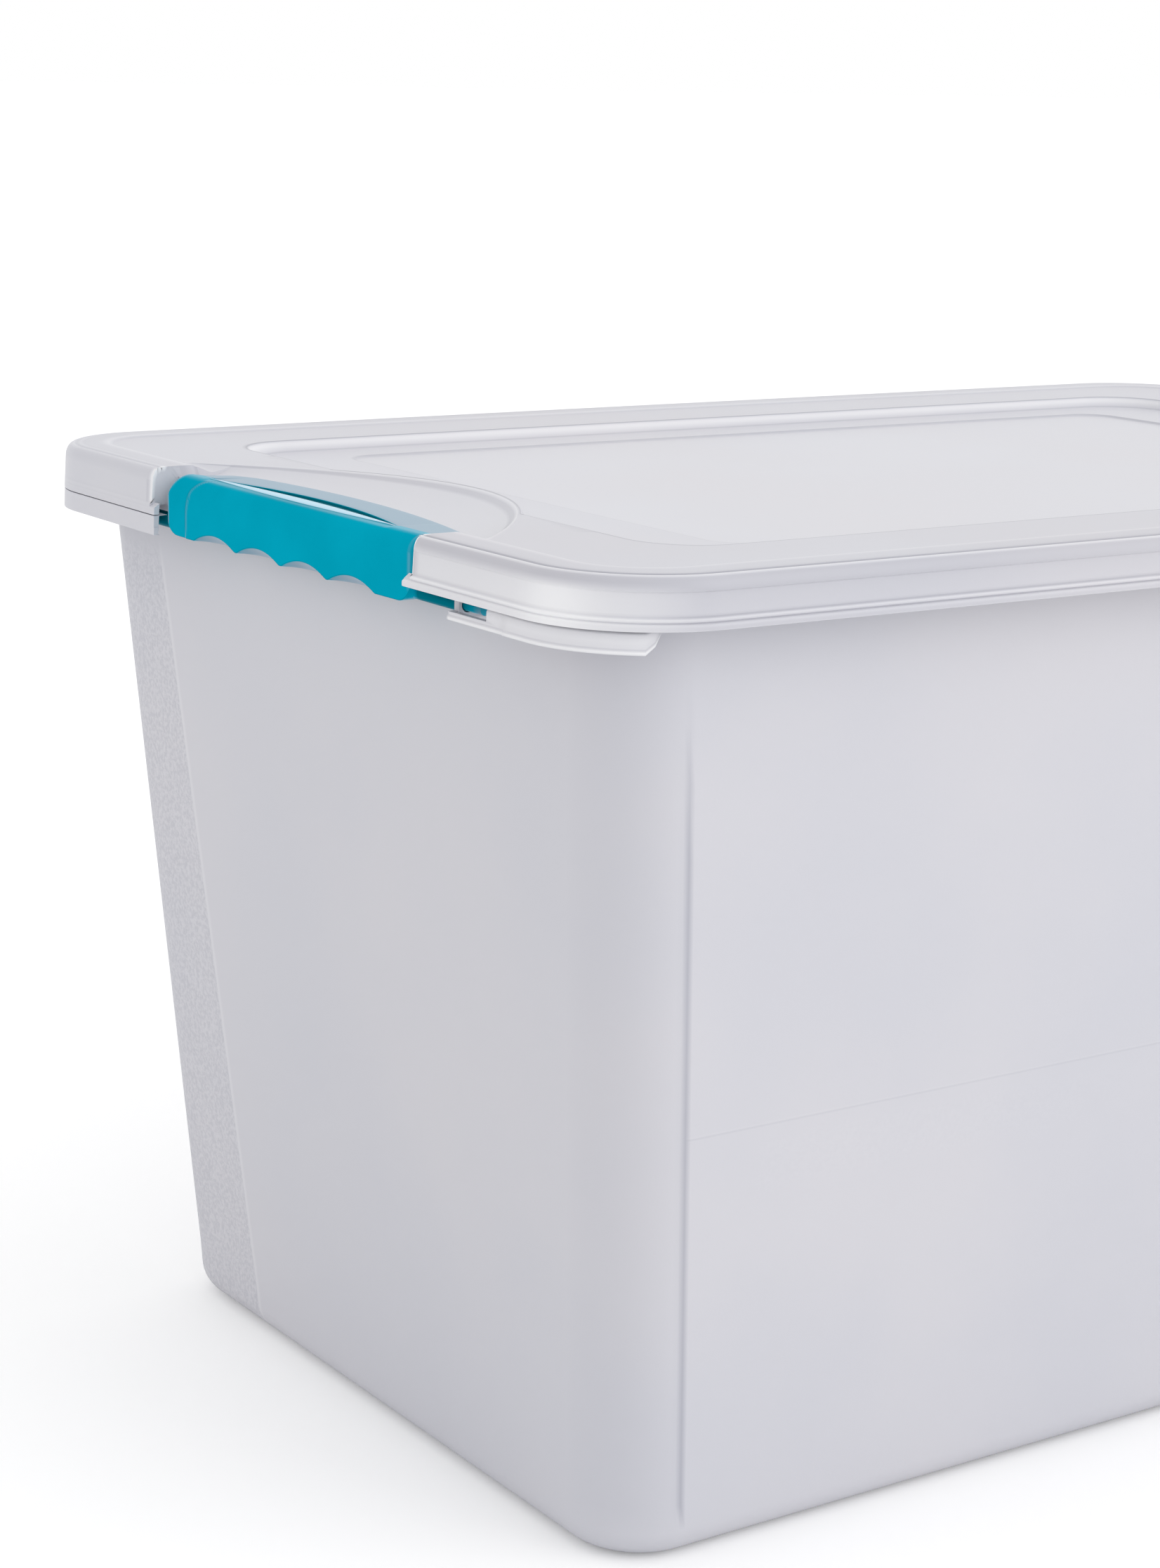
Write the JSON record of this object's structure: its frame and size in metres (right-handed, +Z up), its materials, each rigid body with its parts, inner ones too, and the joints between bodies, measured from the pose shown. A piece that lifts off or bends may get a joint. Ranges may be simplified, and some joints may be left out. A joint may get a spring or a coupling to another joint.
{
  "type": "latching storage tote",
  "caption": "Tall clear storage tote with a recessed lid held down by a swing latch on each short end.",
  "frame": {"origin": "centre of the tub's underside", "axes": "+X along the length towards the right latch, +Y across the width, +Z up"},
  "size_m": [0.6022, 0.4062, 0.346],
  "materials": {
    "clear_tub": "translucent frosted moulded plastic, satin",
    "clear_lid": "translucent moulded plastic, satin",
    "latch_blue_green": "opaque moulded plastic, satin"
  },
  "bodies": {
    "tub_body": {"tub": "clear_tub"},
    "lid_body": {"lid": "clear_lid"},
    "latch_left_body": {"latch_left": "latch_blue_green"},
    "latch_right_body": {"latch_right": "latch_blue_green"}
  },
  "joints": [
    {"name": "lid_lift", "type": "slide", "parent": "tub_body", "child": "lid_body", "axis": [0, 0, 1], "range_m": [0, 0.24]},
    {"name": "latch_left_hinge", "type": "hinge", "parent": "tub_body", "child": "latch_left_body", "pos_m": [-0.2915, 0, 0.326], "axis": [0, -1, 0], "range_deg": [0, 120]},
    {"name": "latch_right_hinge", "type": "hinge", "parent": "tub_body", "child": "latch_right_body", "pos_m": [0.2915, 0, 0.326], "axis": [0, 1, 0], "range_deg": [0, 120]}
  ]
}
